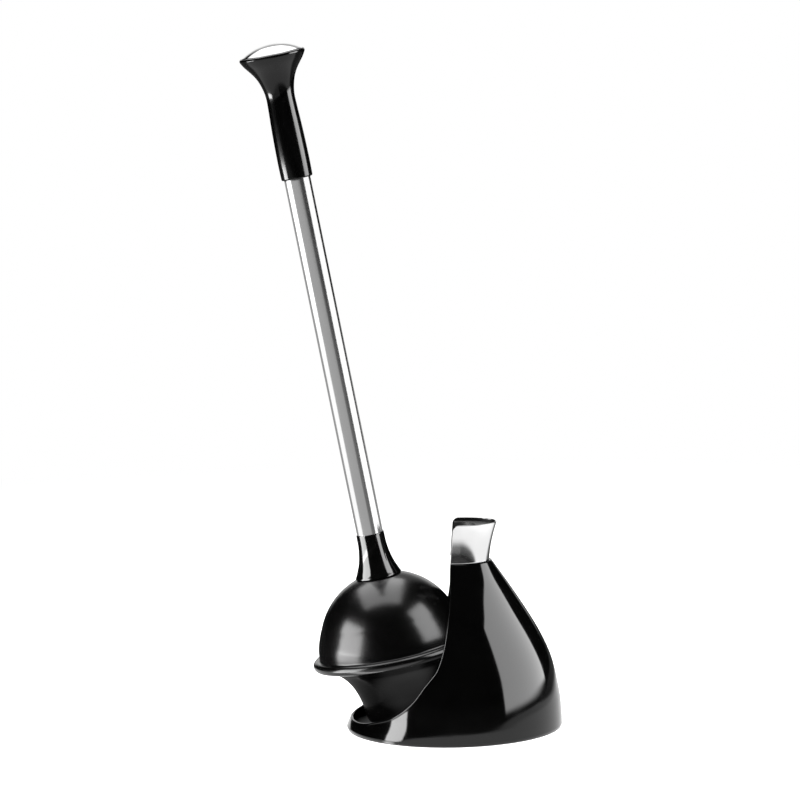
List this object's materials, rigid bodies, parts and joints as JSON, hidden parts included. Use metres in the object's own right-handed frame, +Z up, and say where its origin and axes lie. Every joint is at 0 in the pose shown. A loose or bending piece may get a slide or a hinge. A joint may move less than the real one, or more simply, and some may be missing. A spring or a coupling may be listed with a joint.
{
  "type": "toilet plunger with caddy",
  "caption": "Bulb toilet plunger with steel shaft and flared grip, leaning out of an open-front teardrop caddy with a magnetic steel collar.",
  "frame": {"origin": "centre of the caddy's foot on the floor", "axes": "+Z up; the caddy's open front faces -X; the plunger leans in the XZ plane, which is the plane of symmetry"},
  "size_m": [0.2584, 0.1782, 0.5783],
  "materials": {
    "black_gloss": "high gloss black",
    "black_matte": "satin black",
    "steel_brushed": "fine brushed, bright",
    "steel_polished": "polished",
    "screw_steel": "zinc plated",
    "magnet": "nickel plated",
    "iron": "as cast, painted",
    "pad_rubber": "matt",
    "foam_pad": "foam adhesive",
    "cup_rubber": "satin moulded rubber"
  },
  "bodies": {
    "caddy": {"caddy_shell": "black_gloss", "collar_sleeve": "steel_brushed", "collar_liner": "black_matte", "magnet_plug": "black_matte", "collar_screws": "screw_steel", "base_floor": "black_matte", "base_screws": "screw_steel", "ballast_plate": "iron", "ballast_rivets": "screw_steel", "base_pad": "pad_rubber"},
    "latch": {"latch_magnet": "magnet"},
    "pin": {"cross_pin": "screw_steel"},
    "plunger": {"handle_grip": "black_gloss", "knob_cap": "steel_polished", "cap_pad": "foam_pad", "grip_screw": "screw_steel", "grip_washer": "screw_steel", "upper_plug": "screw_steel", "shaft_tube": "steel_brushed", "lower_plug": "screw_steel", "neck_connector": "black_gloss", "neck_seal": "pad_rubber", "cup_stud": "screw_steel", "clamp_washer": "screw_steel", "cup_nut": "screw_steel"},
    "cup": {"rubber_cup": "cup_rubber"}
  },
  "joints": [
    {"name": "latch_turn", "type": "hinge", "parent": "caddy", "child": "latch", "pos_m": [0.026, 0, 0.152], "axis": [0, 1, 0], "range_deg": [-4.3, 9.3]},
    {"name": "plunger_pull_out", "type": "slide", "parent": "latch", "child": "pin", "axis": [-0.9993, 0, 0.0369], "range_m": [-0.07278, 0.16]},
    {"name": "plunger_lean", "type": "hinge", "parent": "pin", "child": "plunger", "pos_m": [-0.06533, 0, 0.15538], "axis": [0, -1, 0], "range_deg": [-14.8, 32.2]},
    {"name": "cup_squash", "type": "slide", "parent": "plunger", "child": "cup", "axis": [-0.1771, 0, 0.9842], "range_m": [0, 0.03], "stiffness_N_per_m": 900, "deforming": ["rubber_cup"]}
  ],
  "couplings": [
    {"joint": "latch_turn", "follows": "plunger_pull_out", "rad_per_m": 0.95079},
    {"joint": "plunger_lean", "follows": "plunger_pull_out", "rad_per_m": 3.3967}
  ]
}
